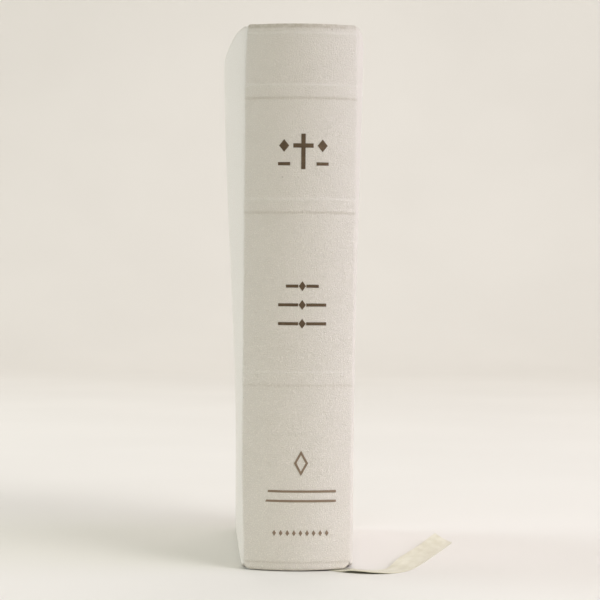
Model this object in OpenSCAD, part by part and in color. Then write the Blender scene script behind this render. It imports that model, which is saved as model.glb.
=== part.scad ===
// A leather-bound book that stands on its tail edge, spine towards -Y.
// The front cover is on the +X side, and both covers swing on the joints beside the spine.
// Everything is drawn closed in a plan with the back of the spine at y = 0, then fanned and centred.

/* [Book] */
// Height of the cover, head to tail
height = 216; // [180:1:240]
// Depth of the closed book, back of the spine to fore edge
depth = 140; // [120:1:160]
// Thickness of the stack of pages
block_t = 37.6; // [34:0.2:44]
// How far the cover stands past the pages at head, tail and fore edge
square_w = 4; // [3:0.5:6]
// Angle that each cover stands open at rest
splay = 1.7; // [0:0.1:6]

/* [Cover] */
// Thickness of the leather
leather_t = 0.85; // [0.6:0.05:1.1]
// Thickness of the card stiffener
board_t = 1.1; // [0.8:0.1:1.6]
// Thickness of the leather that is turned in over the card
turn_in_t = 0.4; // [0.3:0.05:0.5]
// Width of the leather that is turned in over the card
turn_in_w = 15; // [10:1:20]
// Radius of the two outer corners of each cover
corner_r = 7; // [2:0.5:12]
// Width of the groove between the spine and the card
groove_w = 4.2; // [3:0.2:6]

/* [Spine] */
// How far the rounded spine stands out behind its two edges
spine_rise = 6; // [3:0.5:9]
// Height of each raised band
band_h = 4.9; // [3:0.1:8]
// How far a raised band stands out of the spine
band_rise = 0.5; // [0.3:0.1:0.6]
// Thickness of the card that lines the leather
inlay_t = 0.6; // [0.3:0.1:0.8]
// Depth of the open hollow between the linings and the card, in the middle of the spine
hollow_back = 2.5; // [2:0.1:4]

/* [Paper] */
// Thickness of an endpaper leaf
endpaper_t = 0.2; // [0.1:0.05:0.3]
// Radius of the pages' outer corners
page_corner_r = 5; // [2:0.5:10]
// How far the back of the pages bows out
back_rise = 2.5; // [1.5:0.1:3]
// Depth of the hollow in the fore edge
fore_hollow = 3; // [1:0.5:4]

/* [Ribbon] */
// Width of the ribbon marker
ribbon_w = 9.5; // [6:0.5:10]
// Thickness of the ribbon marker
ribbon_t = 0.25; // [0.15:0.05:0.3]

/* [Hidden] */
$fn = 96;
TINY = 0.02;
AIR = 0.12;                      // gap between two leaves that move apart

// Cover, closed: faces across the thickness, from the pages outwards.
page_x = block_t / 2;
fly_x = page_x + AIR;
paste_x = fly_x + endpaper_t + AIR;
turn_x = paste_x + endpaper_t;
board_x = turn_x + turn_in_t;
skin_x = board_x + board_t;
cover_x = skin_x + leather_t;

// Spine: the leather and its card are arcs about one upright line.
spine_r = (cover_x * cover_x + spine_rise * spine_rise) / (2 * spine_rise);
spine_half = asin(cover_x / spine_r);
skin_in_r = spine_r - leather_t;
inlay_in_r = skin_in_r - inlay_t;
BAND_HALF = spine_half - 2;      // half angle of the cards under the raised bands
HEM_H = 3.2;                     // leather turned in at head and tail of the spine
FOIL_X = 0.9;                    // the stamping sits a little to the right of the middle

// Back of the pages: the thread, gauze and paper liner on it are arcs about another line, as it is flatter.
THREAD_T = 0.24;
LINING_T = 0.3;                  // gauze, and again the paper over it
back_r = (page_x * page_x + back_rise * back_rise) / (2 * back_rise);
back_y = leather_t + inlay_t + hollow_back + 3 * LINING_T;
back_centre = back_y + back_r;
LINING_HALF = asin(0.93 * page_x / back_r);
thread_r = back_r + 0.03;
mull_r = back_r + LINING_T;
liner_r = mull_r + LINING_T;

// Joints: the hinge line lies just behind the edge of the spine.
hinge_x = cover_x;
hinge_y = spine_rise + 0.9;
flange_y = hinge_y + 0.4;
board_y = flange_y + groove_w;
GROOVE_IN = 0.35;                // how far the groove is pressed in
GROOVE_T = 1.0;
FLANGE_END = 3;                  // the groove's leather stops short of head and tail

// Leaves
page_z = square_w;
page_h = height - 2 * square_w;
page_end = depth - square_w;
leaf_y = hinge_y + 2.1;
fore_r = (page_x * page_x + fore_hollow * fore_hollow) / (2 * fore_hollow);

// The page stack: a fixed core, and five stacks on each side that fan out with the cover.
// A stack turns on the outer corner of its back, so each one turns over twice as far as the one inside it.
CORE_HALF = 4.6 / 18.8 * page_x;
STACK_SHARE = [3.6, 3.4, 3.0, 2.4, 1.8] / 14.2;
TURN_RATIO = [0.015, 0.036, 0.085, 0.2, 0.46];
FLY_RATIO = 0.955;
function stack_x(i) = i == 0 ? CORE_HALF : stack_x(i - 1) + STACK_SHARE[i - 1] * (page_x - CORE_HALF);
function block_y(x) = back_centre - sqrt(back_r * back_r - x * x);

// The finished book is moved so that its outline is centred on the origin.
far_y = hinge_y + (depth - hinge_y) * cos(splay) + (hinge_x - paste_x) * sin(splay);
shift_y = -(far_y - band_rise) / 2;

BAND_Z = [76.1, 144.3, 189.4] / 216 * height;

// Ribbon: it hangs in a gap beside the core, bends onto the ground and leaves under the front joint.
RIBBON_GAP = 0.4;
RIBBON_ROOM = 0.5;               // height left free for it under the leather
RIBBON_REACH = 103;              // distance from the hinge line that its end stays within
RIBBON_X = CORE_HALF - RIBBON_GAP / 2;
// Middle line, from the head of the pages to the free end.
RIBBON = [
    [RIBBON_X, -54.5, page_z + page_h], [RIBBON_X, -54.5, 120], [RIBBON_X, -54.5, 30], [RIBBON_X, -54.5, 3.9],
    [4.5, -54.5, 2.6], [5, -54.5, 1.4], [6, -54.5, 0.55], [7.4, -54.7, 0.2], [9.3, -55.7, 0.2],
    [11.7, -57.8, 0.2], [14.3, -60.7, 0.2],
    [17, -63.8, 0.2], [19.5, -66.3, 0.2], [22, -68.3, 0.2], [25, -70, 0.2], [28.5, -71, 0.2],
    [32, -70.7, 0.2], [35.3, -69.2, 0.2], [38, -66.6, 0.2], [40, -63.4, 0.2], [42, -58.5, 0.2],
    [44.2, -52, 0.2], [46.6, -44.5, 0.2], [49.6, -34.5, 0.2], [53, -22.5, 0.2], [56.6, -10, 0.2],
    [60.2, 3, 0.2], [63.6, 15.5, 0.2], [66.4, 26, 0.2]
];
RIBBON_EXIT = 11;                // the point of the middle line where the ribbon leaves the book

LEATHER = [0.87, 0.84, 0.78];
PAPER = [0.93, 0.91, 0.85];
CARD = [0.72, 0.66, 0.55];
CLOTH = [0.90, 0.88, 0.82];
SATIN = [0.86, 0.84, 0.72];
FOIL = [0.40, 0.31, 0.22];

FRONT_PAGES = [for (i = [1 : 5]) str("front_pages_", i)];
BACK_PAGES = [for (i = [1 : 5]) str("back_pages_", i)];

// ---- frames ----

// Puts closed geometry, drawn with the back of the spine at y = 0, in its final place.
module placed() {
    translate([0, shift_y, 0]) children();
}

// Fans a child of the front half out about an upright line, by a share of the splay.
module fanned(pivot, ratio) {
    translate([pivot[0], pivot[1], 0])
        rotate([0, 0, -splay * ratio])
            translate([-pivot[0], -pivot[1], 0])
                children();
}

// The back half mirrors the front half.
module on_side(back) {
    placed() mirror([back ? 1 : 0, 0, 0]) children();
}

// ---- shapes ----

// Upright outline with its two outer corners rounded, as deep as y1, from z0 to z1.
module outline(y0, y1, z0, z1, r) {
    translate([y0, z0]) square([y1 - y0 - r, z1 - z0]);
    translate([y0, z0 + r]) square([y1 - y0, z1 - z0 - 2 * r]);
    for (z = [z0 + r, z1 - r]) translate([y1 - r, z]) circle(r);
}

// A flat leaf or panel between x0 and x1 with that outline.
module leaf(x0, x1, y0, y1, z0, z1, r) {
    translate([x0, 0, 0])
        rotate([90, 0, 90])
            linear_extrude(height = x1 - x0)
                outline(y0, y1, z0, z1, r);
}

// A layer of the spine: an arc about the upright line at y = centre, from radius r0 to r1 and from z0 to z1.
module arc_layer(centre, r0, r1, z0, z1, half) {
    translate([0, centre, 0])
        rotate([0, 0, 270 - half])
            rotate_extrude(angle = 2 * half)
                translate([r0, z0])
                    square([r1 - r0, z1 - z0]);
}

// Pages between x0 and x1, from y0 back to a hollow fore edge; their back is no further out than the bowed back.
module pages(x0, x1, y0) {
    intersection() {
        translate([0, 0, page_z])
            linear_extrude(height = page_h)
                difference() {
                    intersection() {
                        translate([x0, y0]) square([x1 - x0, depth]);
                        union() {
                            translate([0, back_centre]) circle(back_r);
                            translate([-back_r, back_centre]) square([2 * back_r, depth]);
                        }
                    }
                    translate([0, page_end - fore_hollow + fore_r]) circle(fore_r);
                }
        leaf(x0 - 1, x1 + 1, 0, page_end, page_z, page_z + page_h, page_corner_r);
    }
}

// A flat ribbon along the middle line, from point i0 to point i1. It bends over its flat side
// where it drops, and its width stays level.
function ahead(i) =
    let (d = RIBBON[min(i + 1, len(RIBBON) - 1)] - RIBBON[max(i - 1, 0)])
    d / norm(d);
function across(i) =
    let (d = ahead(i), level = norm([d[0], d[1]]))
    level < 0.05 ? [0, 1, 0] : [-d[1], d[0], 0] / level;
function ribbon_ring(i) =
    let (s = across(i) * ribbon_w / 2, u = cross(ahead(i), across(i)) * ribbon_t / 2)
    [RIBBON[i] - s - u, RIBBON[i] + s - u, RIBBON[i] + s + u, RIBBON[i] - s + u];
module ribbon(i0, i1) {
    rings = i1 - i0;
    points = [for (i = [i0 : i1]) each ribbon_ring(i)];
    sides = [for (i = [0 : rings - 1], k = [0 : 3])
        [4 * i + k, 4 * i + (k + 1) % 4, 4 * i + 4 + (k + 1) % 4, 4 * i + 4 + k]];
    ends = [[3, 2, 1, 0], [for (k = [0 : 3]) 4 * rings + k]];
    polyhedron(points = points, faces = concat(sides, ends));
}

// ---- spine ----

// Section of the leather from the tail up: hems at both ends, and bands that stand out over their cards.
function skin_out() = [
    [spine_r, 0],
    for (z = BAND_Z, step = [[-1, 0], [-1, 1], [1, 1], [1, 0]])
        [spine_r + step[1] * band_rise, z + step[0] * band_h / 2],
    [spine_r, height]
];
function skin_in() = [
    [inlay_in_r, height], [inlay_in_r, height - HEM_H], [skin_in_r, height - HEM_H],
    for (i = [len(BAND_Z) - 1 : -1 : 0], step = [[1, 0], [1, 1], [-1, 1], [-1, 0]])
        [skin_in_r + step[1] * (leather_t - TINY), BAND_Z[i] + step[0] * (band_h / 2 - 0.3)],
    [skin_in_r, HEM_H], [inlay_in_r, HEM_H], [inlay_in_r, 0]
];

module spine_leather() {
    color(LEATHER) placed() difference() {
        translate([0, spine_r, 0])
            rotate([0, 0, 270 - spine_half])
                rotate_extrude(angle = 2 * spine_half)
                    polygon(concat(skin_out(), skin_in()));
        // the tail edge stands clear of the ribbon that passes under it
        translate([2, -1, -1]) cube([hinge_x, 2 * spine_rise, 1 + RIBBON_ROOM]);
    }
}

module raised_bands() {
    color(CARD) placed() for (z = BAND_Z)
        arc_layer(spine_r, skin_in_r, spine_r - 2 * TINY,
                  z - band_h / 2 + 0.35, z + band_h / 2 - 0.35, BAND_HALF);
}

module spine_inlay() {
    color(CARD) placed()
        arc_layer(spine_r, inlay_in_r, skin_in_r - TINY, HEM_H + 0.2, height - HEM_H - 0.2, spine_half - 2);
}

module spine_liner() {
    color(CARD) placed()
        arc_layer(back_centre, mull_r + TINY, liner_r, page_z + 2, page_z + page_h - 2, LINING_HALF);
}

module mull() {
    color(CLOTH) placed()
        arc_layer(back_centre, thread_r + THREAD_T, mull_r, page_z + 8, page_z + page_h - 8, LINING_HALF);
}

// Rows of thread that sew the folded sheets together across the back.
module sewing_thread() {
    rows = 6;
    color(CLOTH) placed() for (i = [0 : rows - 1]) {
        z = page_z + 20 + i * (page_h - 40) / (rows - 1);
        arc_layer(back_centre, thread_r, thread_r + THREAD_T - TINY, z - 0.4, z + 0.4, LINING_HALF - 0.5);
    }
}

// A rounded cord across the back of the pages.
module end_band(z) {
    bead_r = 1.05;
    translate([0, back_centre, z])
        rotate([0, 0, 270 - LINING_HALF])
            rotate_extrude(angle = 2 * LINING_HALF)
                translate([back_r - bead_r / 2, 0])
                    circle(bead_r);
}

module headband() {
    color(SATIN) placed() end_band(height - square_w + 1.2);
}

module tailband() {
    color(SATIN) placed() end_band(square_w - 1.2);
}

// ---- foil on the spine: plain ornaments, a hair above the leather ----

module lozenge(x, z, w, h) {
    translate([x, z]) polygon([[-w / 2, 0], [0, -h / 2], [w / 2, 0], [0, h / 2]]);
}

module latin_cross(z, w, h, bar) {
    translate([-bar / 2, z - h / 2]) square([bar, h]);
    translate([-w / 2, z + h / 6 - bar / 2]) square([w, bar]);
}

// A short rule with a lozenge in its middle.
module rule(z, w, bar, gem) {
    for (side = [-1, 1])
        translate([side * (w / 4 + gem / 2) - w / 4 + gem / 2, z - bar / 2]) square([w / 2 - gem, bar]);
    lozenge(0, z, gem * 1.1, gem * 1.5);
}

module ornaments() {
    k = height / 216;
    scale([k, k]) {
        latin_cross(165.6, 8, 14, 1.7);
        for (side = [-1, 1]) {
            lozenge(side * 7.6, 167.9, 4, 5);
            translate([side * 7.6 - 2.4, 160.1]) square([4.8, 1.3]);
        }
        for (i = [0 : 2]) rule(112.6 - 7.4 * i, i == 0 ? 13 : 19, 1.2, 2.6);
        difference() {
            lozenge(0, 42.8, 5.6, 10);
            lozenge(0, 42.8, 3.6, 6.6);
        }
        for (z = [27.4, 31.2]) translate([-14, z]) square([28, 0.9]);
        for (i = [-4 : 4]) lozenge(i * 2.6, 15.2, 1.5, 2.4);
    }
}

module spine_foil() {
    color(FOIL) placed() intersection() {
        arc_layer(spine_r, spine_r + TINY, spine_r + 5 * TINY, 2, height - 2, spine_half - 2);
        translate([FOIL_X, spine_rise, 0]) rotate([90, 0, 0])
            linear_extrude(height = 2 * spine_rise) ornaments();
    }
}

// ---- covers ----

// The board with the raised field that fills the window in the turned-in leather.
module board_shape() {
    e = leather_t;
    leaf(board_x, skin_x, board_y + e, depth - e, e, height - e, corner_r - e);
    leaf(turn_x, board_x + TINY, board_y + turn_in_w, depth - turn_in_w,
         turn_in_w, height - turn_in_w, 2);
}

module cover_skin(raised_tail) {
    difference() {
        union() {
            leaf(turn_x, cover_x, board_y, depth, 0, height, corner_r);
            translate([hinge_x - GROOVE_IN - GROOVE_T, flange_y, FLANGE_END])
                cube([GROOVE_T, board_y - flange_y + TINY, height - 2 * FLANGE_END]);
        }
        board_shape();
        // the tail edge stands clear of the ribbon as the cover swings over it
        if (raised_tail)
            translate([0, 0, -1]) cube([2 * cover_x, hinge_y + RIBBON_REACH, 1 + RIBBON_ROOM]);
    }
}

module cover_leather(back) {
    color(LEATHER) on_side(back) fanned([hinge_x, hinge_y], 1) cover_skin(!back);
}

module board(back) {
    color(CARD) on_side(back) fanned([hinge_x, hinge_y], 1) board_shape();
}

module pastedown(back) {
    e = square_w - 0.5;
    color(PAPER) on_side(back) fanned([hinge_x, hinge_y], 1)
        leaf(paste_x, turn_x, leaf_y, depth - e, e, height - e, page_corner_r);
}

module flyleaf(back) {
    color(PAPER) on_side(back) fanned([hinge_x, hinge_y], FLY_RATIO)
        leaf(fly_x, fly_x + endpaper_t, leaf_y, page_end, page_z, page_z + page_h, page_corner_r);
}

// ---- pages ----

module core_pages() {
    color(PAPER) placed() pages(-CORE_HALF, CORE_HALF - RIBBON_GAP, 0);
}

module page_stack(i, back) {
    inner = stack_x(i - 1);
    outer = stack_x(i);
    color(PAPER) on_side(back) fanned([outer, block_y(outer)], TURN_RATIO[i - 1])
        pages(inner + AIR, outer, block_y(outer));
}

// ---- ribbon ----

module ribbon_inner() {
    color(SATIN) ribbon(0, RIBBON_EXIT);
}

module ribbon_tail() {
    color(SATIN) ribbon(RIBBON_EXIT, len(RIBBON) - 1);
}

spine_leather();
raised_bands();
spine_inlay();
spine_liner();
mull();
sewing_thread();
headband();
tailband();
core_pages();
ribbon_inner();
ribbon_tail();
spine_foil();
cover_leather(false);  // front_cover_leather
board(false);  // front_board
pastedown(false);  // front_pastedown
flyleaf(false);  // front_flyleaf
cover_leather(true);  // back_cover_leather
board(true);  // back_board
pastedown(true);  // back_pastedown
flyleaf(true);  // back_flyleaf
for (i = [1 : 5]) {
    page_stack(i, false);
    page_stack(i, true);
}
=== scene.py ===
"""Looks for a leather-bound book that stands on its tail edge, with the spine towards -Y and the front cover at +X.

Shapes are made in millimetres in the row frame, and become metres when a mesh is made. The front half is modelled
closed, opened by its share of the splay, and mirrored for the back half.
"""

import math

import bmesh
import bpy
import numpy as np
from mathutils import Matrix, Vector


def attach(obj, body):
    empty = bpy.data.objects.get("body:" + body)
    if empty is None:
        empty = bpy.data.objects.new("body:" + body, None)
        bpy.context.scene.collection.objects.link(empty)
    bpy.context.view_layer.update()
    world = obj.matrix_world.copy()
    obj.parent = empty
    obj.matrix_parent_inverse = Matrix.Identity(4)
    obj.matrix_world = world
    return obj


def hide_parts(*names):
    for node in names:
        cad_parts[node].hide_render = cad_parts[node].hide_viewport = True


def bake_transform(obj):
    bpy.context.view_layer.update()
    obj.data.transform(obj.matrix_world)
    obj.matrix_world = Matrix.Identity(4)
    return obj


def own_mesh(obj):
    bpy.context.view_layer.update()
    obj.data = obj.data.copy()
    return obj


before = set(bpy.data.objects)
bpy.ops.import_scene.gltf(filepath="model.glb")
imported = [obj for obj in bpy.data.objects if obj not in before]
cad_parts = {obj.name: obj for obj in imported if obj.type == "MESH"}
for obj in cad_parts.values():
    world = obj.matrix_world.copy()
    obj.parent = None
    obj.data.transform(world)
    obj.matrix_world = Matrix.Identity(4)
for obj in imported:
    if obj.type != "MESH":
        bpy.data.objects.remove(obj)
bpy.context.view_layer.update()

MM = 0.001
rng = np.random.default_rng(20)

# ---- measures in millimetres, as in the CAD source ----

HEIGHT = 216.0
HINGE_X, HINGE_Y = 21.79, -62.8585
COVER_DEPTH = 133.1  # hinge line to fore edge
SPLAY = math.radians(1.7)
FLY_RATIO = 0.955
TURN_RATIO = [0.015, 0.036, 0.085, 0.2, 0.46]
STACK_X = [4.6, 8.2, 11.6, 14.6, 17.0, 18.8]  # outer faces, of the core first
SHIFT_Y = -69.7585
SPINE_R = 42.567
SPINE_Y = SPINE_R + SHIFT_Y
BACK_R = 71.938
BACK_Y = 76.788 + SHIFT_Y
PAGE_END = 136.0 + SHIFT_Y
PAGE_Z0, PAGE_Z1 = 4.0, 212.0
FORE_R, FORE_HOLLOW = 60.4, 3.0
CORNER_R = 5.0  # of the pages and endpapers
AIR = 0.12  # between two stacks
BAND_Z = [76.1, 144.3, 189.4]
LEATHER_THICK = 0.85

RIBBON_W = 9.5
RIBBON = np.array([
    [4.4, -54.5, 212], [4.4, -54.5, 120], [4.4, -54.5, 30], [4.4, -54.5, 3.9], [4.5, -54.5, 2.6], [5, -54.5, 1.4],
    [6, -54.5, 0.55], [7.4, -54.7, 0.2], [9.3, -55.7, 0.2], [11.7, -57.8, 0.2], [14.3, -60.7, 0.2],
    [17, -63.8, 0.2], [19.5, -66.3, 0.2], [22, -68.3, 0.2], [25, -70, 0.2], [28.5, -71, 0.2], [32, -70.7, 0.2],
    [35.3, -69.2, 0.2], [38, -66.6, 0.2], [40, -63.4, 0.2], [42, -58.5, 0.2], [44.2, -52, 0.2], [46.6, -44.5, 0.2],
    [49.6, -34.5, 0.2], [53, -22.5, 0.2], [56.6, -10, 0.2], [60.2, 3, 0.2], [63.6, 15.5, 0.2], [66.4, 26, 0.2],
])
RIBBON_EXIT = 11  # the first point of the free tail


def ramp(x, a, b):
    """0 before a, 1 after b, smooth between."""
    t = np.clip((np.asarray(x, float) - a) / (b - a), 0, 1)
    return t * t * (3 - 2 * t)


# ---- materials ----

GRAIN = 1.35  # leather cells to the millimetre, also pressed into the foil
HEAD_SHADE_TONE, VALLEY_SHADE_TONE = 0.804, 0.65  # shares of the leather's shade colour, for the painted shade at the head and the painted shade between the pebbles
LINE_PITCH = 2.7
COLUMN_MIDDLE, COLUMN_FROM, COLUMN_TO = 4.0, 2.0, 54.0  # the gutter's middle, and each column's ends from there
PRINT_Z0, PRINT_Z1 = 17.0, 198.0
INK, INK_SHARE = (0.2, 0.18, 0.16), 0.6


class Paint:
    """One procedural material. at() gives texture coordinates in millimetres."""

    def __init__(self, name, built=True):
        self.material = bpy.data.materials.new(name)
        self.material.use_nodes = True
        self.tree = self.material.node_tree
        self.bsdf = self.tree.nodes["Principled BSDF"]
        if built:
            source = self.node("ShaderNodeAttribute", attribute_name="rest")
            self.place = source.outputs["Vector"]
        else:
            source = self.node("ShaderNodeTexCoord")
            scaled = self.node("ShaderNodeVectorMath", operation="SCALE")
            scaled.inputs["Scale"].default_value = 1000
            self.link(source.outputs["Object"], scaled.inputs[0])
            self.place = scaled.outputs[0]

    def node(self, kind, **settings):
        made = self.tree.nodes.new(kind)
        for key, value in settings.items():
            setattr(made, key, value)
        return made

    def link(self, a, b):
        self.tree.links.new(a, b)

    def feed(self, socket, value):
        if isinstance(value, bpy.types.NodeSocket):
            self.link(value, socket)
        else:
            socket.default_value = value

    def at(self, sx, sy=None, sz=None):
        """The texture place stretched by a factor along each axis."""
        made = self.node("ShaderNodeVectorMath", operation="MULTIPLY")
        made.inputs[1].default_value = (sx, sx if sy is None else sy, sx if sz is None else sz)
        self.link(self.place, made.inputs[0])
        return made.outputs[0]

    def axes(self):
        """The texture place's X, Y and Z."""
        made = self.node("ShaderNodeSeparateXYZ")
        self.link(self.place, made.inputs[0])
        return made.outputs

    def noise(self, where, scale=1.0, detail=2.0, rough=0.5, distortion=0.0):
        made = self.node("ShaderNodeTexNoise")
        self.link(where, made.inputs["Vector"])
        for key, value in (("Scale", scale), ("Detail", detail), ("Roughness", rough), ("Distortion", distortion)):
            made.inputs[key].default_value = value
        return made.outputs["Fac"]

    def cells(self, where, scale, feature):
        made = self.node("ShaderNodeTexVoronoi", feature=feature)
        self.link(where, made.inputs["Vector"])
        made.inputs["Scale"].default_value = scale
        return made.outputs["Distance"]

    def wave(self, where, scale, distortion=0.0, direction="X"):
        made = self.node("ShaderNodeTexWave", bands_direction=direction)
        self.link(where, made.inputs["Vector"])
        made.inputs["Scale"].default_value = scale
        made.inputs["Distortion"].default_value = distortion
        return made.outputs["Fac"]

    def math(self, operation, a, b=0.0, clamp=False):
        made = self.node("ShaderNodeMath", operation=operation, use_clamp=clamp)
        self.feed(made.inputs[0], a)
        self.feed(made.inputs[1], b)
        return made.outputs[0]

    def remap(self, value, a, b, c=0.0, d=1.0):
        made = self.node("ShaderNodeMapRange", interpolation_type="SMOOTHSTEP")
        self.feed(made.inputs["Value"], value)
        for key, number in (("From Min", a), ("From Max", b), ("To Min", c), ("To Max", d)):
            made.inputs[key].default_value = number
        return made.outputs["Result"]

    def mix(self, share, a, b):
        made = self.node("ShaderNodeMix", data_type="RGBA")
        self.feed(made.inputs[0], share)
        for socket, value in ((made.inputs[6], a), (made.inputs[7], b)):
            self.feed(socket, value if isinstance(value, bpy.types.NodeSocket) else (*value, 1))
        return made.outputs[2]

    def attribute(self, name):
        return self.node("ShaderNodeAttribute", attribute_name=name).outputs["Fac"]

    def bump(self, height, millimetres, strength=1.0):
        made = self.node("ShaderNodeBump")
        made.inputs["Strength"].default_value = strength
        made.inputs["Distance"].default_value = millimetres * MM
        self.link(height, made.inputs["Height"])
        self.link(made.outputs["Normal"], self.bsdf.inputs["Normal"])

    def finish(self, colour, roughness, **constants):
        self.feed(self.bsdf.inputs["Base Color"], colour)
        self.feed(self.bsdf.inputs["Roughness"], roughness)
        for key, value in constants.items():
            self.bsdf.inputs[key.replace("_", " ")].default_value = value
        return self.material


def leather(name, light, shade, grime_and_shade):
    """Cream leather: a fine pebble grain, faint mottling, painted shade that deepens towards the head, painted shade
    between the pebbles, and dirt and painted shade where grime_and_shade is high.
    """
    p = Paint(name)
    drift = p.node("ShaderNodeTexNoise")
    p.link(p.at(0.55), drift.inputs["Vector"])
    bent = p.node("ShaderNodeVectorMath", operation="MULTIPLY_ADD")
    p.link(drift.outputs["Color"], bent.inputs[0])
    bent.inputs[1].default_value = (0.9, 0.9, 0.9)
    p.link(p.place, bent.inputs[2])
    pebble = p.remap(p.cells(bent.outputs[0], GRAIN, "DISTANCE_TO_EDGE"), 0.02, 0.34)
    folds = p.remap(p.cells(bent.outputs[0], 0.42, "DISTANCE_TO_EDGE"), 0.0, 0.16)
    fine = p.noise(p.at(5.2), 1.0, 3.0, 0.6)
    height = p.math("ADD", p.math("MULTIPLY", pebble, 0.62), p.math("MULTIPLY", folds, 0.24))
    height = p.math("ADD", height, p.math("MULTIPLY", fine, 0.22))
    p.bump(height, 0.24, 1.0)
    mottle = p.remap(p.noise(p.at(0.06), 1.0, 4.0, 0.6), 0.25, 0.75)
    colour = p.mix(mottle, shade, light)
    # painted shade: the leather's colour darkens from the foot towards the head
    risen = p.math("MAXIMUM", p.math("DIVIDE", p.axes()["Z"], HEIGHT), 0.0)
    colour = p.mix(p.math("POWER", risen, 0.5, clamp=True), colour, tuple(HEAD_SHADE_TONE * c for c in shade))
    # painted shade in the hollows between the pebbles
    pebble_valley_shade = p.math("MULTIPLY", p.math("SUBTRACT", 1.0, pebble), 0.38)
    colour = p.mix(pebble_valley_shade, colour, tuple(VALLEY_SHADE_TONE * c for c in shade))
    speck = p.remap(p.cells(p.at(0.075), 1.0, "F1"), 0.035, 0.022)
    colour = p.mix(p.math("MULTIPLY", speck, 0.35), colour, (0.25, 0.21, 0.16))
    # dirt and painted shade from the grime_and_shade attribute, broken up by noise
    wear_and_shade = p.math("MULTIPLY", p.attribute("grime_and_shade"), p.remap(p.noise(p.at(0.5), 1.0, 4.0, 0.7), 0.25, 0.7, 0.35, 1.0))
    colour = p.mix(wear_and_shade, colour, grime_and_shade)
    rough = p.remap(p.noise(p.at(0.9), 1.0, 3.0), 0.3, 0.7, 0.42, 0.56)
    return p.finish(colour, rough, Sheen_Weight=0.12, Sheen_Roughness=0.45, Coat_Weight=0.06, Coat_Roughness=0.4)


def ink(p):
    """Share of ink on a page: two columns of lines, each broken into dashes of uneven length."""
    _, y, z = p.axes()
    stroke = p.remap(p.math("SINE", p.math("MULTIPLY", z, 2 * math.pi / LINE_PITCH)), 0.1, 0.6)
    cell = p.node("ShaderNodeCombineXYZ")
    p.link(p.math("MULTIPLY", y, 0.5), cell.inputs["X"])
    p.link(p.math("MULTIPLY", p.math("FLOOR", p.math("DIVIDE", z, LINE_PITCH)), 3.7), cell.inputs["Y"])
    dashes = p.remap(p.noise(cell.outputs[0], 1.0, 2.0, 0.6), 0.4, 0.46)
    away = p.math("ABSOLUTE", p.math("SUBTRACT", y, COLUMN_MIDDLE))
    share = p.math("MULTIPLY", stroke, dashes)
    for value, a, b in (
        (away, COLUMN_FROM, COLUMN_FROM + 0.4),
        (away, COLUMN_TO, COLUMN_TO - 0.4),
        (z, PRINT_Z0, PRINT_Z0 + 0.4),
        (z, PRINT_Z1, PRINT_Z1 - 0.4),
    ):
        share = p.math("MULTIPLY", share, p.remap(value, a, b))
    return p.math("MULTIPLY", share, INK_SHARE)


def paper(name, tint, printed=False):
    """Cream paper with a faint fibre pattern, and lines of print if it is printed."""
    p = Paint(name)
    fibre = p.noise(p.at(1.6, 1.6, 0.5), 1.0, 5.0, 0.7)
    cloud = p.noise(p.at(0.05), 1.0, 3.0)
    colour = p.mix(p.remap(fibre, 0.25, 0.75), tuple(0.93 * c for c in tint), tint)
    colour = p.mix(p.remap(cloud, 0.3, 0.75, 0.0, 0.35), colour, (tint[0] * 0.95, tint[1] * 0.9, tint[2] * 0.8))
    if printed:
        colour = p.mix(ink(p), colour, INK)
    p.bump(fibre, 0.02, 0.6)
    return p.finish(colour, p.remap(fibre, 0.2, 0.8, 0.62, 0.78), Specular_IOR_Level=0.35)


def gilt(name):
    """The gilded edges of the pages: thin gold over the ends of hundreds of leaves."""
    p = Paint(name)
    leaves = p.noise(p.at(14.0, 0.05, 0.05), 1.0, 3.0, 0.7)
    rubbed = p.remap(p.noise(p.at(0.35, 0.05, 0.12), 1.0, 4.0, 0.65), 0.5, 0.8)
    colour = p.mix(p.remap(leaves, 0.3, 0.7), (0.42, 0.27, 0.09), (0.80, 0.60, 0.28))
    colour = p.mix(p.math("MULTIPLY", rubbed, 0.45), colour, (0.78, 0.72, 0.58))
    p.bump(leaves, 0.05, 0.8)
    return p.finish(colour, p.remap(leaves, 0.2, 0.8, 0.28, 0.46), Metallic=0.75)


def card(name):
    """Grey-brown millboard."""
    p = Paint(name, built=False)
    fibre = p.noise(p.at(1.1, 1.1, 2.3), 1.0, 6.0, 0.75)
    colour = p.mix(p.remap(fibre, 0.3, 0.7), (0.36, 0.30, 0.21), (0.55, 0.48, 0.37))
    p.bump(fibre, 0.06, 0.7)
    return p.finish(colour, 0.85)


def kraft(name):
    """Brown wrapping paper."""
    p = Paint(name, built=False)
    fibre = p.noise(p.at(0.9, 0.9, 3.0), 1.0, 6.0, 0.7)
    colour = p.mix(p.remap(fibre, 0.3, 0.7), (0.36, 0.24, 0.13), (0.52, 0.38, 0.23))
    p.bump(fibre, 0.03, 0.6)
    return p.finish(colour, 0.75)


def gauze(name):
    """Open plain weave, about 1.3 threads to the millimetre."""
    p = Paint(name, built=False)
    warp_way = p.wave(p.at(1.0, 0.0, 0.0), 2.1)
    weft_way = p.wave(p.at(0.0, 0.0, 1.0), 2.1, direction="Z")
    weave = p.math("MAXIMUM", warp_way, weft_way)
    colour = p.mix(p.remap(weave, 0.25, 0.8), (0.42, 0.37, 0.28), (0.80, 0.77, 0.68))
    p.bump(weave, 0.08, 0.9)
    return p.finish(colour, 0.85, Sheen_Weight=0.3)


def thread(name):
    """Waxed linen thread with a visible twist."""
    p = Paint(name, built=False)
    twist = p.wave(p.at(1.0, 0.6, 1.4), 3.2, 1.0, "DIAGONAL")
    colour = p.mix(twist, (0.60, 0.56, 0.46), (0.84, 0.81, 0.72))
    p.bump(twist, 0.05, 0.8)
    return p.finish(colour, 0.6, Sheen_Weight=0.3)


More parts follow.
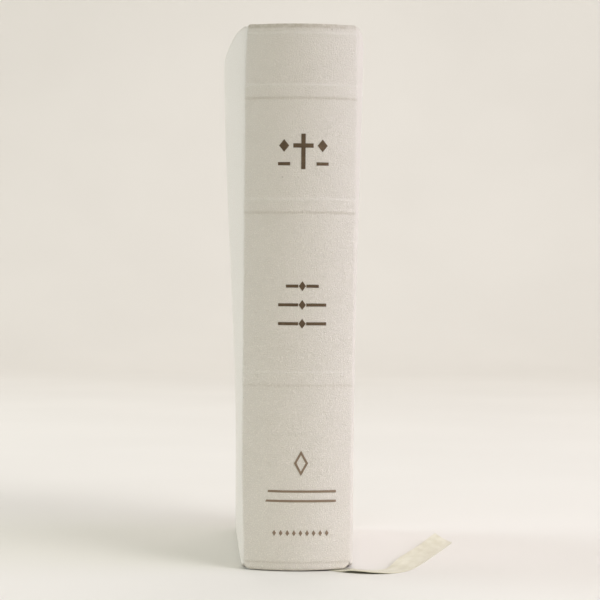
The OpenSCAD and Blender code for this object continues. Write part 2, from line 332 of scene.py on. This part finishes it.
def silk_stripes(name):
    """End band: turns of cream and gold silk over a cord. Along the band the texture place's x is the run in mm."""
    p = Paint(name)
    turns = p.math("SINE", p.math("MULTIPLY", p.axes()["X"], 2 * math.pi / 2.4))
    fine = p.wave(p.at(1.0, 0.0, 0.0), 5.5)
    colour = p.mix(p.remap(turns, -0.25, 0.25), (0.78, 0.75, 0.64), (0.50, 0.36, 0.13))
    colour = p.mix(p.math("MULTIPLY", fine, 0.25), colour, (0.25, 0.20, 0.12))
    p.bump(fine, 0.04, 0.8)
    return p.finish(colour, 0.42, Sheen_Weight=0.4, Sheen_Roughness=0.3)


def satin(name):
    """Satin ribbon: x of the texture place runs across, z along. Fine warp lines with a soft lengthwise gloss."""
    p = Paint(name)
    warp_lines = p.wave(p.at(1.0, 0.0, 0.0), 4.5)
    weft = p.wave(p.at(0.0, 0.0, 1.0), 3.0, 0.6, "Z")
    cloud = p.noise(p.at(0.3, 1.0, 0.08), 1.0, 3.0)
    colour = p.mix(p.remap(cloud, 0.3, 0.7), (0.66, 0.62, 0.46), (0.80, 0.77, 0.63))
    colour = p.mix(p.math("MULTIPLY", warp_lines, 0.16), colour, (0.45, 0.41, 0.28))
    height = p.math("ADD", p.math("MULTIPLY", warp_lines, 0.7), p.math("MULTIPLY", weft, 0.3))
    p.bump(height, 0.03, 0.7)
    return p.finish(colour, p.remap(cloud, 0.3, 0.7, 0.3, 0.42), Sheen_Weight=0.35, Sheen_Roughness=0.3,
                    Anisotropic=0.5)


def bronze_foil(name):
    """Dark stamped foil that takes the leather's grain, rubbed through in small spots and paler towards the tail."""
    p = Paint(name)
    grain = p.remap(p.cells(p.at(1.0), GRAIN, "DISTANCE_TO_EDGE"), 0.02, 0.34)
    rub = p.remap(p.noise(p.at(2.6), 1.0, 4.0, 0.75), 0.6, 0.74)
    colour = p.mix(p.noise(p.at(0.5), 1.0, 3.0), (0.085, 0.055, 0.035), (0.17, 0.115, 0.07))
    colour = p.mix(p.math("MULTIPLY", rub, 0.55), colour, (0.50, 0.43, 0.34))
    faded = p.remap(p.axes()["Z"], 90, 36, 0.0, 0.55)
    colour = p.mix(faded, colour, (0.42, 0.32, 0.24))
    p.bump(grain, 0.06, 0.7)
    return p.finish(colour, p.remap(rub, 0.0, 1.0, 0.36, 0.6), Metallic=0.55)


# ---- mesh building ----


def mesh_object(name, points, faces, rest, materials, grime_and_shade=None, face_material=None, sharp=40):
    """A closed mesh from points in millimetres. rest is each vertex's texture place, grime_and_shade its share of dirt
    and painted shade.
    """
    mesh = bpy.data.meshes.new(name)
    mesh.from_pydata((np.asarray(points) * MM).tolist(), [], faces)
    if face_material is not None:
        mesh.polygons.foreach_set("material_index", np.asarray(face_material, np.int32))
    built = bmesh.new()
    built.from_mesh(mesh)
    bmesh.ops.recalc_face_normals(built, faces=built.faces)
    built.to_mesh(mesh)
    built.free()
    mesh.polygons.foreach_set("use_smooth", [True] * len(mesh.polygons))
    mesh.set_sharp_from_angle(angle=math.radians(sharp))
    places = mesh.attributes.new("rest", "FLOAT_VECTOR", "POINT")
    places.data.foreach_set("vector", np.asarray(rest, np.float32).ravel())
    dirt_and_shade = mesh.attributes.new("grime_and_shade", "FLOAT", "POINT")
    dirt_and_shade.data.foreach_set("value", np.asarray(np.zeros(len(points)) if grime_and_shade is None else grime_and_shade, np.float32))
    for material in materials:
        mesh.materials.append(material)
    made = bpy.data.objects.new(name, mesh)
    bpy.context.scene.collection.objects.link(made)
    return made


def plate(grid, layers):
    """Points (along, up, depth) and faces of a closed plate, and each face's kind: 0 flat, 1 rim, 2 rim at the hinge.

    grid(inset, depth) gives the outline's points as an array (columns, rows, 2). The first and last of the
    layers (inset, depth) are the two full faces, and the ones between are rings round the rim.
    """
    first, last = grid(*layers[0]), grid(*layers[-1])
    columns, rows = first.shape[:2]
    ring = [(i, 0) for i in range(columns)] + [(columns - 1, j) for j in range(1, rows)]
    ring += [(i, rows - 1) for i in range(columns - 2, -1, -1)] + [(0, j) for j in range(rows - 2, 0, -1)]
    ring = np.array(ring)
    flat = ring[:, 0] * rows + ring[:, 1]
    blocks = [np.c_[first.reshape(-1, 2), np.full(columns * rows, layers[0][1])]]
    start, loops = columns * rows, [flat]
    for inset, depth in layers[1:-1]:
        outline = grid(inset, depth)[ring[:, 0], ring[:, 1]]
        blocks.append(np.c_[outline, np.full(len(ring), depth)])
        loops.append(start + np.arange(len(ring)))
        start += len(ring)
    blocks.append(np.c_[last.reshape(-1, 2), np.full(columns * rows, layers[-1][1])])
    loops.append(start + flat)
    i, j = np.meshgrid(np.arange(columns - 1), np.arange(rows - 1), indexing="ij")
    a = (i * rows + j).ravel()
    quads = [np.c_[a, a + 1, a + rows + 1, a + rows], start + np.c_[a, a + rows, a + rows + 1, a + 1]]
    kinds = [np.zeros(2 * len(a), int)]
    at_hinge = (ring[:, 0] == 0) & (np.roll(ring[:, 0], -1) == 0)
    for one, two in zip(loops, loops[1:]):
        quads.append(np.c_[one, np.roll(one, -1), np.roll(two, -1), two])
        kinds.append(np.where(at_hinge, 2, 1))
    return np.vstack(blocks), np.vstack(quads).tolist(), np.concatenate(kinds)


def spaced(length, stops):
    """Shares from 0 to 1 along a length, with the given step after each stop: [(stop, step), ...]."""
    values = [0.0]
    for (_, step), end in zip(stops, [s for s, _ in stops[1:]] + [length]):
        count = max(1, round((end - values[-1]) / step))
        values += list(np.linspace(values[-1], end, count + 1)[1:])
    return np.array(values) / length


def corner(s, end, radius, inset):
    """How far the rounded corner has risen from the lower edge at s."""
    reach = np.clip(s - (end - radius), 0, radius - inset)
    return radius - np.sqrt((radius - inset) ** 2 - reach ** 2)


def turned(x, y, pivot, angle):
    """Opens the front half outwards about an upright line."""
    dx, dy = x - pivot[0], y - pivot[1]
    c, s = math.cos(angle), math.sin(angle)
    return pivot[0] + dx * c + dy * s, pivot[1] - dx * s + dy * c


def flare(side, s, z):
    """How far the cover stands out beyond a flat one: most at the head's fore edge, and bowed near the joint."""
    k = np.clip(np.asarray(s, float) / COVER_DEPTH, 0, 1)
    ease = 0.005  # rounds the bow's start, which would be upright at the hinge
    bow = ((k * k + ease ** 2) ** 0.25 - ease ** 0.5) / ((1 + ease ** 2) ** 0.25 - ease ** 0.5)
    out = 4.1 + (5.1 if side == "front" else 6.7) * ramp(z, 30, 220)
    share = 0.45 + 0.55 * np.clip(z / HEIGHT, 0, 1)
    return out * ((1 - share) * k + share * bow) - 3.95 * k


def pinch(side, z):
    """How much narrower than its box the back is on one side, with its ends drawn in."""
    if side == "front":
        return 0.5 - 1.2 * ramp(z, 0, HEIGHT)
    return 0.9 * (1 - ramp(z, 0, 45)) - 0.95 + 0.6 * ramp(z, 198, HEIGHT)


def back_y(x):
    """The text block's rounded back."""
    return BACK_Y - np.sqrt(BACK_R ** 2 - x * x)


def fore_y(x):
    """The text block's hollow fore edge."""
    return PAGE_END - FORE_HOLLOW + FORE_R - np.sqrt(FORE_R ** 2 - x * x)


def side_object(side, name, points, *args, **kwargs):
    """Mirrors the front half's points for the back half."""
    points = points * [1 if side == "front" else -1, 1, 1]
    return mesh_object(f"{side}_{name}", points, *args, **kwargs)


# ---- camera, first ----

SPINE_FRONT = Vector((0, SHIFT_Y * MM, 0))
CAMERA_GAP, CAMERA_YAW, CAMERA_Z = 0.800, math.radians(1.3), 0.1158
PITCH, ROLL, LENS = math.radians(-0.62), math.radians(0.45), 121.95

camera = bpy.data.objects.new("camera", bpy.data.cameras.new("camera"))
bpy.context.scene.collection.objects.link(camera)
camera.data.lens = LENS
camera.data.sensor_width = 36
camera.location = (
    SPINE_FRONT.x - CAMERA_GAP * math.sin(CAMERA_YAW),
    SPINE_FRONT.y - CAMERA_GAP * math.cos(CAMERA_YAW),
    CAMERA_Z,
)
camera.rotation_mode = "QUATERNION"
camera.rotation_quaternion = (
    Matrix.Rotation(-CAMERA_YAW, 4, "Z") @ Matrix.Rotation(math.pi / 2 + PITCH, 4, "X") @ Matrix.Rotation(ROLL, 4, "Z")
).to_quaternion()
camera.data.clip_end = 20
bpy.context.scene.camera = camera

# ---- ribbon ----


def resampled(points, step):
    """A smooth curve through the points, at about the given spacing."""
    p = np.vstack([2 * points[0] - points[1], points, 2 * points[-1] - points[-2]])
    out = []
    for k in range(1, len(p) - 2):
        count = max(2, round(np.linalg.norm(p[k + 1] - p[k]) / step))
        for t in np.arange(count) / count:
            out.append(0.5 * (2 * p[k] + (p[k + 1] - p[k - 1]) * t
                              + (2 * p[k - 1] - 5 * p[k] + 4 * p[k + 1] - p[k + 2]) * t ** 2
                              + (3 * p[k] - p[k - 1] - 3 * p[k + 1] + p[k + 2]) * t ** 3))
    return np.array(out + [points[-1]])


def ribbon(name, line, lift, tip_cut, material):
    """A thin ribbon along a line. lift(run) raises its outer edge, or its inner edge where it is below 0."""
    ahead = np.gradient(line, axis=0)
    ahead /= np.linalg.norm(ahead, axis=1)[:, None]
    level = np.hypot(ahead[:, 0], ahead[:, 1])
    across = np.c_[ahead[:, 1], -ahead[:, 0], 0 * level] / np.maximum(level, 1e-9)[:, None]
    across[level < 0.3] = (0, -1, 0)
    up = np.cross(across, ahead)
    run = np.r_[0, np.cumsum(np.linalg.norm(np.diff(line, axis=0), axis=1))]
    u = np.linspace(-1, 1, 17)
    thick = 0.1 + 0.035 * np.abs(u) ** 12
    blocks, rest = [], []
    raised = lift(run)
    for sign in (1, -1):
        for k in range(len(u)):
            tilt = np.abs(raised) * ((1 + np.sign(raised) * u[k]) / 2) ** 1.6
            narrow = np.sqrt(np.maximum(1 - (raised / RIBBON_W) ** 2, 0.5))
            point = line + across * (u[k] * RIBBON_W / 2 * narrow)[:, None] + up * (sign * thick[k] + tilt)[:, None]
            point = point + ahead * (tip_cut * u[k] * ramp(run, run[-1] - 8, run[-1]))[:, None]
            blocks.append(point)
            rest.append(np.c_[np.full(len(run), u[k] * RIBBON_W / 2), np.full(len(run), sign), run])
    points, rest = np.vstack(blocks), np.vstack(rest)
    m, n = len(u), len(line)
    order = list(range(m)) + list(range(2 * m - 1, m - 1, -1))
    faces = []
    for a, b in zip(order, order[1:] + order[:1]):
        faces += [[a * n + i, b * n + i, b * n + i + 1, a * n + i + 1] for i in range(n - 1)]
    for i in (0, n - 1):
        for k in range(m - 1):
            faces.append([k * n + i, (k + 1) * n + i, (k + 1 + m) * n + i, (k + m) * n + i])
    return mesh_object(name, points, faces, rest, [material], sharp=60)


def tail_lift(run):
    """The tail's outer edge rises a little past the exit, and its inner edge from the bend to the cut end."""
    return 0.9 * ramp(run, 3, 9) * (1 - ramp(run, 10, 22)) - 2.0 * ramp(run, 26, 48) - 0.5 * ramp(run, 90, 118)


RIBBON_STEP, TIP_CUT = 1.2, -5.0  # TIP_CUT: how far the end is cut at a slant, to each side
SATIN = satin("ribbon_satin")
tail_line = resampled(RIBBON[RIBBON_EXIT:], RIBBON_STEP)
ribbon_tail = ribbon("ribbon_tail_satin", tail_line, tail_lift, TIP_CUT, SATIN)
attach(ribbon_tail, "book_block")
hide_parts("ribbon_tail")
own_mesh(ribbon_tail)

inner_line = resampled(RIBBON[:RIBBON_EXIT + 1], RIBBON_STEP)
ribbon_inner = ribbon("ribbon_inner_satin", inner_line, np.zeros_like, 0.0, SATIN)
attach(ribbon_inner, "book_block")
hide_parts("ribbon_inner")

# ---- spine ----

LEATHER = leather("cream_leather", light=(0.985, 0.93, 0.852), shade=(0.945, 0.89, 0.812), grime_and_shade=(0.36, 0.30, 0.21))
CURL_FROM, CURL_TO, CURL_R = math.radians(29.3), math.radians(95), 1.6  # where the back turns in to each joint
ARC_RUN = SPINE_R * CURL_FROM
SPINE_RUN = ARC_RUN + CURL_R * (CURL_TO - CURL_FROM)
EDGE_X = 21.65  # half the spine's width
SPINE_LAYERS = [(0.4, 0), (0.16, 0.07), (0.03, 0.22), (0, 0.4), (0, 0.7), (0.08, 0.92), (0.25, 1)]
SPINE_STOPS = [(0, 0.45), (6, 0.9), (70, 0.4), (82, 0.9), (138, 0.4), (150, 0.9), (184, 0.4), (195, 0.9), (210, 0.45)]
BAND_RISE, BAND_UNDERSIDE_SHADE = (0.26, 0.42, 0.46), (0.10, 0.2, 0.2)


def on_spine(run, off):
    """Plan position of a point at a run along the spine's outside, and a distance off it."""
    along = np.abs(run)
    heading = np.where(along < ARC_RUN, along / SPINE_R, CURL_FROM + (along - ARC_RUN) / CURL_R)
    flat = np.minimum(heading, CURL_FROM)
    base = SPINE_R - CURL_R
    in_curl = along >= ARC_RUN
    reach = np.where(in_curl, CURL_R, SPINE_R) + off
    x = np.where(in_curl, base * np.sin(flat), 0) + reach * np.sin(heading)
    y = SPINE_Y - np.where(in_curl, base * np.cos(flat), 0) - reach * np.cos(heading)
    return np.sign(run) * x, y


def band_height(run, z):
    """Low bands from joint to joint, fainter towards the tail."""
    across = 1 - 0.6 * ramp(np.abs(run), 18, SPINE_RUN - 0.6)
    total = 0
    for middle, rise in zip(BAND_Z, BAND_RISE):
        total = total + rise * (ramp(z, middle - 3.1, middle - 2.2) - ramp(z, middle + 2.2, middle + 3.1))
    return total * across


def spine_grid(inset, _):
    """The spine unrolled: run and height of each point. Its corners are rounded, most at the tail."""
    run = np.linspace(-SPINE_RUN + inset, SPINE_RUN - inset, 121)
    x = np.abs(on_spine(run, 0)[0])
    low = corner(x, EDGE_X, np.where(run > 0, 4.0, 2.8), 0) + inset + 0.3 + 0.3 * ramp(run, 0, 14)
    high = HEIGHT - corner(x, EDGE_X, 1.2, 0) - inset
    z = low[:, None] + spaced(HEIGHT, SPINE_STOPS)[None, :] * (high - low)[:, None]
    return np.dstack([np.broadcast_to(run[:, None], z.shape), z])


def build_spine():
    """The spine's leather over its bands, with the hems turned in at head and tail."""
    flat, faces, _ = plate(spine_grid, SPINE_LAYERS)
    run, z, depth = flat.T
    outer = band_height(run, z) - 0.42 * ramp(z, 212.2, 212.7) - 0.26 * (1 - ramp(z, 3.2, 3.9))
    outer = outer - 0.5 * ramp(z, 213.9, 216.3) ** 2 - 0.4 * (1 - ramp(z, -0.2, 1.6)) ** 2
    hem = np.maximum(ramp(z, 212.5, 212.9), 1 - ramp(z, 3.1, 3.5)) * (1 - ramp(np.abs(run), 17.5, 19))
    inner = -LEATHER_THICK - 0.58 * hem
    x, y = on_spine(run, outer * (1 - depth) + inner * depth)
    x = x * (1 - np.where(run > 0, pinch("front", z), pinch("back", z)) / EDGE_X)
    # darker along the head's rim, and a painted contact shadow along the foot
    grime_and_shade = 0.62 * ramp(z, 213.9, 214.7) * (1 - 0.5 * ramp(run, 8, 22)) + 0.35 * np.exp(-(z / 1.1) ** 2)
    # painted shade under the lower edge of each band
    for middle, strength in zip(BAND_Z, BAND_UNDERSIDE_SHADE):
        grime_and_shade = grime_and_shade + strength * np.exp(-((z - middle + 2.8) / 0.4) ** 2)
    # painted shade along the hem's step near the tail
    grime_and_shade = grime_and_shade + 0.2 * np.exp(-((z - 3.5) / 0.3) ** 2)
    # darker towards each joint
    grime_and_shade = grime_and_shade + 0.12 * ramp(np.abs(run), SPINE_RUN - 1.6, SPINE_RUN)
    rest = np.c_[run, depth, z]
    made = mesh_object("spine_leather_skin", np.c_[x, y, z], faces, rest, [LEATHER], np.clip(grime_and_shade, 0, 1), sharp=50)
    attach(made, "book_block")
    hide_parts("spine_leather", "raised_bands")


build_spine()

# ---- foil ornaments on the spine ----


def patch(corners, n, m):
    """Grid of n by m points over a four-cornered shape."""
    a, b, c, d = (np.array(p, float) for p in corners)
    u, v = np.meshgrid(np.linspace(0, 1, n), np.linspace(0, 1, m), indexing="ij")
    u, v = u[..., None], v[..., None]
    return a * (1 - u) * (1 - v) + b * u * (1 - v) + c * u * v + d * (1 - u) * v


def bar(x0, x1, z0, z1):
    """Corners and grid size of an upright rectangle."""
    return [(x0, z0), (x1, z0), (x1, z1), (x0, z1)], max(3, round(x1 - x0) + 1), 3


def lozenge(x, z, w, h):
    """Corners and grid size of a lozenge."""
    return [(x - w / 2, z), (x, z - h / 2), (x + w / 2, z), (x, z + h / 2)], 5, 5


def ornaments():
    """All shapes of the stamping, from the head down: (corners, n, m)."""
    shapes = [bar(-0.85, 0.85, 158.6, 172.6)]  # the cross, with a lozenge and a dash to each side
    for side in (-1, 1):
        inner, outer = sorted((side * 0.85, side * 4.0))
        shapes.append(bar(inner, outer, 167.08, 168.78))
        shapes.append(lozenge(side * 7.6, 167.9, 4, 5))
        shapes.append(bar(side * 7.6 - 2.4, side * 7.6 + 2.4, 160.1, 161.4))
    for i in range(3):  # three rules, each broken by a lozenge
        width, z = (13 if i == 0 else 19), 112.6 - 7.4 * i
        shapes.append(lozenge(0, z, 2.86, 3.9))
        shapes.append(bar(-width / 2, -1.6, z - 0.6, z + 0.6))
        shapes.append(bar(1.6, width / 2, z - 0.6, z + 0.6))
    out, hole = lozenge(0, 42.8, 5.6, 10)[0], lozenge(0, 42.8, 3.6, 6.6)[0]
    for k in range(4):  # a hollow lozenge
        n = (k + 1) % 4
        shapes.append(([out[k], out[n], hole[n], hole[k]], 5, 3))
    for z in (27.4, 31.2):  # a double rule, and a row of small lozenges under it
        shapes.append(bar(-14, 14, z, z + 0.9))
    for i in range(-4, 5):
        shapes.append(lozenge(i * 2.6, 15.2, 1.5, 2.4))
    return shapes


FOIL_X = 0.9  # the stamping sits a little to the right of the middle


def build_foil():
    """The stamping, as one mesh of thin raised plates on the spine."""
    points, faces = [], []
    for corners, n, m in ornaments():
        base = patch(corners, n, m)
        middle = base.reshape(-1, 2).mean(0)

        def grid(inset, _, base=base, middle=middle):
            away = base - middle
            far = np.linalg.norm(away, axis=2, keepdims=True)
            return middle + away * (1 - inset / np.maximum(far, 4 * inset + 1e-6))

        flat, quads, _ = plate(grid, [(0.06, 0.1), (0, 0.06), (0, 0.0)])
        before = sum(len(p) for p in points)
        points.append(flat)
        faces += [[before + v for v in q] for q in quads]
    across, z, off = np.vstack(points).T
    across = across + FOIL_X
    reach = SPINE_R + off + 0.015  # just clear of the leather
    y = SPINE_Y - np.sqrt(reach ** 2 - across ** 2)
    made = mesh_object("spine_foil_stamp", np.c_[across, y, z], faces, np.c_[across, off, z],
                       [bronze_foil("bronze_foil")], sharp=30)
    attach(made, "book_block")
    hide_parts("spine_foil")


build_foil()

# ---- covers and endpapers ----

COVER_COLUMNS = spaced(COVER_DEPTH + 0.9, [(0, 0.35), (9, 1.2), (20, 4), (122, 1.0), (129, 0.45)])
COVER_ROWS = spaced(HEIGHT, [(0, 0.6), (8, 2.5), (30, 5), (186, 2.5), (208, 0.6)])
COVER_LAYERS = [(0.8, 0), (0.45, 0.06), (0.18, 0.2), (0.03, 0.36), (0, 0.5), (0.03, 0.7), (0.15, 0.88), (0.4, 0.98),
                (0.7, 1.0)]
COVER_OUT, COVER_IN, JOINT_THICK = 21.2, 19.44, 1.0  # the outer face by the joint, the inner face, the skin between
REST_SHIFT = {"front": 40, "back": 340}  # moves the texture, so that no two pieces of leather repeat
PASTEDOWN_X, FLYLEAF_X, SHEET_START = (19.24, 19.43), (18.92, 19.12), 2.1


def cover_grid(relief):
    """The cover's outline: run from the hinge, and height. relief lifts the tail edge clear of the ribbon."""
    def grid(inset, _):
        s = -0.9 + inset + COVER_COLUMNS * (COVER_DEPTH + 0.9 - 2 * inset)
        rise = corner(s, COVER_DEPTH, 7, inset)
        low = rise + 2.6 * (1 - ramp(s, -1, 8)) + relief * (1 - ramp(s, 103, 108))
        high = HEIGHT - rise - 0.7 * (1 - ramp(s, -1, 6))
        z = low[:, None] + COVER_ROWS[None, :] * (high - low)[:, None]
        return np.dstack([np.broadcast_to(s[:, None], z.shape), z])
    return grid


def build_cover(side):
    """A padded cover with a bow, a turned edge, and a groove at the joint."""
    flat, faces, _ = plate(cover_grid(0.5 if side == "front" else 0.0), COVER_LAYERS)
    s, z, depth = flat.T
    joint = 1 - ramp(s, 1, 6)
    outer = COVER_OUT + 0.24 * ramp(s, -0.9, 0.6) + 0.35 * ramp(s, 3.2, 6.4) - pinch(side, z) * joint
    inner = (outer - JOINT_THICK) * (1 - ramp(s, 3.6, 5.0)) + COVER_IN * ramp(s, 3.6, 5.0)
    x = outer * (1 - depth) + inner * depth + flare(side, s, z)
    x, y = turned(x, HINGE_Y + s, (HINGE_X, HINGE_Y), SPLAY)
    edge = np.minimum(COVER_DEPTH - s, np.minimum(z, HEIGHT - z))
    # grime_and_shade on the cover: wear along the fore edge, head and tail, and darker along the joint groove
    grime_and_shade = 0.4 * np.exp(-(np.maximum(edge, 0) / 1.1) ** 2) + 0.15 * np.exp(-((s - 2) / 1.6) ** 2)
    rest = np.c_[s + REST_SHIFT[side], depth * 2.35, z]
    made = side_object(side, "cover_panel", np.c_[x, y, z], faces, rest, [LEATHER], grime_and_shade, sharp=50)
    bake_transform(made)
    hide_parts(f"{side}_cover_leather", f"{side}_board")


def sheet_grid(start, end, z0, z1, radius):
    """The outline of an endpaper with two rounded corners at its fore edge."""
    columns = spaced(end - start, [(0, 0.6), (10, 2), (30, 5), (end - start - 12, 1.5), (end - start - 4, 0.5)])
    rows = spaced(z1 - z0, [(0, 1.0), (6, 4), (z1 - z0 - 6, 1.0)])

    def grid(inset, _):
        s = start + inset + columns * (end - start - 2 * inset)
        rise = corner(s, end, radius, inset)
        z = (z0 + rise)[:, None] + rows[None, :] * (z1 - z0 - 2 * rise)[:, None]
        return np.dstack([np.broadcast_to(s[:, None], z.shape), z])
    return grid


def build_endpaper(side, name, node, x, grid, ratio):
    """A thin sheet between two distances from the middle, that opens by a share of the cover's angle."""
    flat, faces, _ = plate(grid, [(0, x[1]), (0, x[0])])
    s, z, depth = flat.T
    x, y = turned(depth + ratio * flare(side, s, z), HINGE_Y + s, (HINGE_X, HINGE_Y), ratio * SPLAY)
    made = side_object(side, name, np.c_[x, y, z], faces, np.c_[s, depth, z], [ENDPAPER], sharp=50)
    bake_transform(made)
    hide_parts(node)


ENDPAPER = paper("cream_endpaper", (0.84, 0.81, 0.73))
for side in ("front", "back"):
    build_cover(side)
    build_endpaper(side, "pastedown_sheet", f"{side}_pastedown", PASTEDOWN_X,
                   sheet_grid(SHEET_START, 129.6, 3.5, 212.5, CORNER_R), 1.0)
    build_endpaper(side, "flyleaf_sheet", f"{side}_flyleaf", FLYLEAF_X,
                   sheet_grid(SHEET_START, 129.1, PAGE_Z0, PAGE_Z1, CORNER_R), FLY_RATIO)

# ---- pages ----

PAGE_PAPER, GILT = paper("bible_paper", (0.86, 0.83, 0.75), printed=True), gilt("gilt_edge")
PAGE_COLUMNS = spaced(131, [(0, 1), (22, 5), (122, 1.2), (127.5, 0.5)])
PAGE_ROWS = spaced(208, [(0, 0.7), (7, 5), (201, 0.7)])
RIBBON_ROOM = 0.4  # the core stands back by this on the ribbon's side


def page_grid(inset, x):
    """The outline of a leaf at x: its back and fore edge follow the text block's."""
    start, end = back_y(x), fore_y(x)
    y = start + PAGE_COLUMNS * (end - inset - start)
    rise = corner(y, end, CORNER_R, inset)
    z = (PAGE_Z0 + rise)[:, None] + PAGE_ROWS[None, :] * (PAGE_Z1 - PAGE_Z0 - 2 * rise)[:, None]
    return np.dstack([np.broadcast_to(y[:, None], z.shape), z])


def leaf_layers(x0, x1):
    """Layers through a stack: bundles of leaves of slightly different size, with a fine groove between them."""
    count = max(3, round((x1 - x0) / 0.3))
    cuts = np.linspace(x0, x1, count + 1)
    cuts[1:-1] += rng.uniform(-0.07, 0.07, count - 1)
    layers = [(0.06, x0)]
    for a, b in zip(cuts, cuts[1:]):
        inset = rng.uniform(0.0, 0.09)
        third = (b - a) * 0.22
        layers += [(inset, a + third), (inset, b - third)]
        if b < x1 - 1e-6:
            layers.append((inset + 0.1, b))
    return layers + [(0.06, x1)]


def build_stack(x0, x1):
    """A stack's points and faces, with gilt on its rim but not on its back."""
    flat, faces, kinds = plate(page_grid, leaf_layers(x0, x1))
    y, z, x = flat.T
    return x, y, z, faces, np.where(kinds == 1, 1, 0)


def build_core():
    """The middle stack, which stays with the spine."""
    x, y, z, faces, kinds = build_stack(-STACK_X[0], STACK_X[0] - RIBBON_ROOM)
    made = mesh_object("core_page_leaves", np.c_[x, y, z], faces, np.c_[x, y, z], [PAGE_PAPER, GILT],
                       face_material=kinds)
    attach(made, "book_block")
    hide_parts("core_pages")


def build_pages(side, number):
    """One of a side's five stacks, counted from the core, that opens by its share of the cover's angle."""
    outer, ratio = STACK_X[number], TURN_RATIO[number - 1]
    x, y, z, faces, kinds = build_stack(STACK_X[number - 1] + AIR, outer)
    rest = np.c_[x, y, z]
    pivot = (outer, float(back_y(outer)))
    x, y = turned(x + ratio * flare(side, y - pivot[1], z), y, pivot, ratio * SPLAY)
    made = side_object(side, f"pages_{number}_leaves", np.c_[x, y, z], faces, rest, [PAGE_PAPER, GILT],
                       face_material=kinds)
    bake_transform(made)
    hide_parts(f"{side}_pages_{number}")


build_core()
for side in ("front", "back"):
    for number in range(1, 6):
        build_pages(side, number)

# ---- end bands ----


def build_end_band(name, node, z, material):
    """A bead of silk turns along the text block's back."""
    radius, half = BACK_R - 0.525, math.radians(14.07)
    length = 2 * half * radius
    run = np.linspace(0, length, 260)
    turn = np.linspace(0, 2 * math.pi, 16, endpoint=False)
    a, t = np.meshgrid(run, turn, indexing="ij")
    twist = np.abs(np.sin(math.pi * (a / 0.6 + t / (2 * math.pi) * 0.5)))
    ends = np.sqrt(np.clip(1 - (np.clip(np.abs(a - length / 2) - length / 2 + 0.6, 0, 0.6) / 0.62) ** 2, 0.02, 1))
    bead = 1.05 * (0.9 + 0.1 * twist) * ends
    reach = radius + bead * np.cos(t)
    angle = (a - length / 2) / radius
    points = np.dstack([reach * np.sin(angle), BACK_Y - reach * np.cos(angle), z + bead * np.sin(t)]).reshape(-1, 3)
    n = len(turn)
    faces = [[i * n + k, (i + 1) * n + k, (i + 1) * n + (k + 1) % n, i * n + (k + 1) % n]
             for i in range(len(run) - 1) for k in range(n)]
    faces += [list(range(n))[::-1], [(len(run) - 1) * n + k for k in range(n)]]
    rest = np.c_[a.ravel(), t.ravel(), np.zeros(a.size)]
    made = mesh_object(name, points, faces, rest, [material], sharp=60)
    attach(made, "book_block")
    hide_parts(node)


SILK = silk_stripes("end_band_silk")
build_end_band("headband_silk", "headband", HEIGHT - 2.8, SILK)
build_end_band("tailband_silk", "tailband", 2.8, SILK)

# ---- CAD nodes that stay ----

for node, material in (
    ("spine_inlay", card("grey_card")),
    ("spine_liner", kraft("kraft_paper")),
    ("mull", gauze("mull_gauze")),
    ("sewing_thread", thread("linen_thread")),
):
    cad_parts[node].data.materials.clear()
    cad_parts[node].data.materials.append(material)

# ---- floor, backdrop and light ----


def build_stage():
    """One sheet: a floor that curves up into the backdrop behind the book."""
    radius, back, front = 0.9, 1.6, -3.0
    profile = [(front, 0.0), (-1.0, 0.0), (0.0, 0.0), (back, 0.0)]  # the points between keep the floor's shading level
    profile += [(back + radius * math.sin(a), radius * (1 - math.cos(a))) for a in np.linspace(0.1, math.pi / 2, 14)]
    profile += [(back + radius, 4.0)]
    xs = (-4.0, 4.0)
    points = [(x, y, z) for x in xs for y, z in profile]
    n = len(profile)
    faces = [[i, i + 1, n + i + 1, n + i] for i in range(n - 1)]
    mesh = bpy.data.meshes.new("studio_floor")
    mesh.from_pydata(points, [], faces)
    mesh.polygons.foreach_set("use_smooth", [True] * len(mesh.polygons))
    p = Paint("studio_paper", built=False)
    soft = p.noise(p.at(0.004), 1.0, 2.0)
    colour = p.mix(p.remap(soft, 0.3, 0.7), (0.735, 0.715, 0.675), (0.755, 0.735, 0.695))
    mesh.materials.append(p.finish(colour, 0.85, Specular_IOR_Level=0.2))
    floor = bpy.data.objects.new("studio_floor", mesh)
    bpy.context.scene.collection.objects.link(floor)


def area_light(name, place, target, size, watts, colour):
    """A round lamp that faces the target."""
    data = bpy.data.lights.new(name, "AREA")
    data.shape, data.size, data.energy, data.color = "DISK", size, watts, colour
    light = bpy.data.objects.new(name, data)
    light.location = place
    light.rotation_mode = "QUATERNION"
    light.rotation_quaternion = (Vector(target) - Vector(place)).to_track_quat("-Z", "Y")
    bpy.context.scene.collection.objects.link(light)


build_stage()
area_light("behind_left", (-1.6, 0.5, 0.5), (0, 0, 0.1), 1.4, 21, (0.87, 0.93, 1.0))
area_light("key", (1.35, -1.35, 1.5), (0, -0.05, 0.1), 1.3, 24.9, (1.0, 0.972, 0.998))
area_light("right", (1.7, -0.25, 0.9), (0, 0, 0.1), 1.4, 14.8, (0.792, 0.73, 1.0))
area_light("behind_right", (1.6, 0.6, 0.6), (0, 0, 0.1), 1.2, 3.5, (1.0, 0.97, 0.92))
area_light("backdrop", (0.2, 1.7, 2.6), (0, 1.9, 0.2), 2.2, 26.4, (1.0, 0.895, 0.935))

world = bpy.data.worlds.new("studio")
world.use_nodes = True
world.node_tree.nodes["Background"].inputs["Color"].default_value = (0.976, 1.0, 0.78, 1)
world.node_tree.nodes["Background"].inputs["Strength"].default_value = 0.425
bpy.context.scene.world = world
bpy.context.scene.view_settings.view_transform = "Standard"
